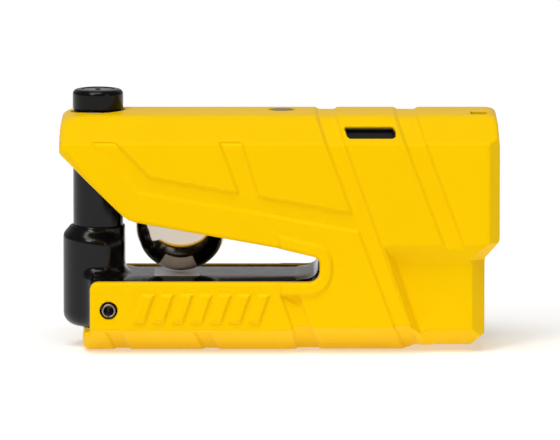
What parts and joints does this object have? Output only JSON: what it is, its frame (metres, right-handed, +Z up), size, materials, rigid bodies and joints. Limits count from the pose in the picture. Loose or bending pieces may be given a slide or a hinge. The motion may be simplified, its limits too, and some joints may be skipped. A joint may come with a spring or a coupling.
{
  "type": "disc brake lock",
  "caption": "Brake disc lock with alarm: yellow housing over a U-shaped steel jaw, sliding bolt with key plug, sprung clamping ball and battery compartment.",
  "frame": {"origin": "under the middle of the lock, on the plane it rests on", "axes": "+X along the lock away from its bolt, -Y out of the front face, +Z up"},
  "size_m": [0.14, 0.052, 0.0827],
  "materials": {
    "yellow_housing": "gloss lacquered",
    "black_steel": "gloss black coating",
    "cap_plastic": "gloss",
    "polished_ball": "mirror polished",
    "zinc_steel": "zinc plated",
    "spring_steel": "drawn wire",
    "brass": "machined",
    "rubber": "matte",
    "black_plastic": "satin",
    "circuit_board": "solder mask",
    "smoked_lens": "gloss tinted",
    "led_lens": "gloss",
    "ribbon": "satin",
    "battery_wrap": "printed sleeve, blank"
  },
  "bodies": {
    "lock_body": {"main_housing": "yellow_housing", "rear_cover": "yellow_housing", "steel_body": "black_steel", "roll_pin": "zinc_steel", "housing_screw_1": "zinc_steel", "housing_screw_2": "zinc_steel", "housing_screw_3": "zinc_steel", "housing_screw_4": "zinc_steel", "housing_screw_5": "zinc_steel", "housing_screw_6": "zinc_steel", "bolt_seal": "rubber", "ball_spring": "spring_steel", "ball_pocket_cap": "zinc_steel", "alarm_board": "circuit_board", "board_screw_1": "zinc_steel", "board_screw_2": "zinc_steel", "controller_chip": "black_plastic", "motion_sensor": "black_plastic", "buffer_capacitor": "black_plastic", "piezo_siren": "black_plastic", "siren_mesh": "black_plastic", "led_window": "smoked_lens", "status_led": "led_lens", "led_board": "circuit_board", "led_ribbon": "ribbon", "bolt_switch": "black_plastic", "switch_ribbon": "ribbon", "battery": "battery_wrap", "battery_tray": "black_plastic", "battery_contact_spring": "spring_steel"},
    "bolt": {"locking_bolt": "black_steel", "bolt_cap": "cap_plastic", "cylinder_body": "brass", "cylinder_pin": "zinc_steel"},
    "plug": {"key_plug": "brass", "plug_face": "zinc_steel", "tail_cam": "zinc_steel", "tumbler_disc_1": "brass", "tumbler_disc_2": "brass", "tumbler_disc_3": "brass", "tumbler_disc_4": "brass", "tumbler_disc_5": "brass", "tumbler_disc_6": "brass"},
    "shutter": {"keyway_shutter": "zinc_steel"},
    "bar": {"locking_bar": "zinc_steel"},
    "ball": {"clamp_ball": "polished_ball", "ball_cup": "zinc_steel"},
    "cover": {"battery_cover": "yellow_housing", "cover_contact": "spring_steel", "cover_gasket": "rubber"},
    "cover_screw": {"cover_screw": "zinc_steel"}
  },
  "joints": [
    {"name": "bolt_slide", "type": "slide", "parent": "lock_body", "child": "bolt", "axis": [0, 0, 1], "range_m": [0, 0.023]},
    {"name": "plug_turn", "type": "hinge", "parent": "bolt", "child": "plug", "pos_m": [-0.058, 0, 0.065], "axis": [0, 0, 1], "range_deg": [0, 90]},
    {"name": "bar_retract", "type": "slide", "parent": "bolt", "child": "bar", "axis": [-1, 0, 0], "range_m": [0, 0.002]},
    {"name": "shutter_slide", "type": "slide", "parent": "plug", "child": "shutter", "axis": [1, 0, 0], "range_m": [0, 0.002], "stiffness_N_per_m": 60, "springref_m": -0.001},
    {"name": "ball_lift", "type": "slide", "parent": "lock_body", "child": "ball", "axis": [0, 0, 1], "range_m": [0, 0.006], "stiffness_N_per_m": 900, "springref_m": -0.006, "deforming": ["ball_spring"]},
    {"name": "cover_pull", "type": "slide", "parent": "lock_body", "child": "cover", "axis": [0, 1, 0], "range_m": [0, 0.012]},
    {"name": "cover_screw_turn", "type": "hinge", "parent": "cover", "child": "cover_screw", "pos_m": [0.0534, 0.0205, 0.0254], "axis": [0, 1, 0], "continuous": true}
  ],
  "couplings": [
    {"joint": "bar_retract", "follows": "plug_turn", "m_per_rad": 0.0012732}
  ]
}
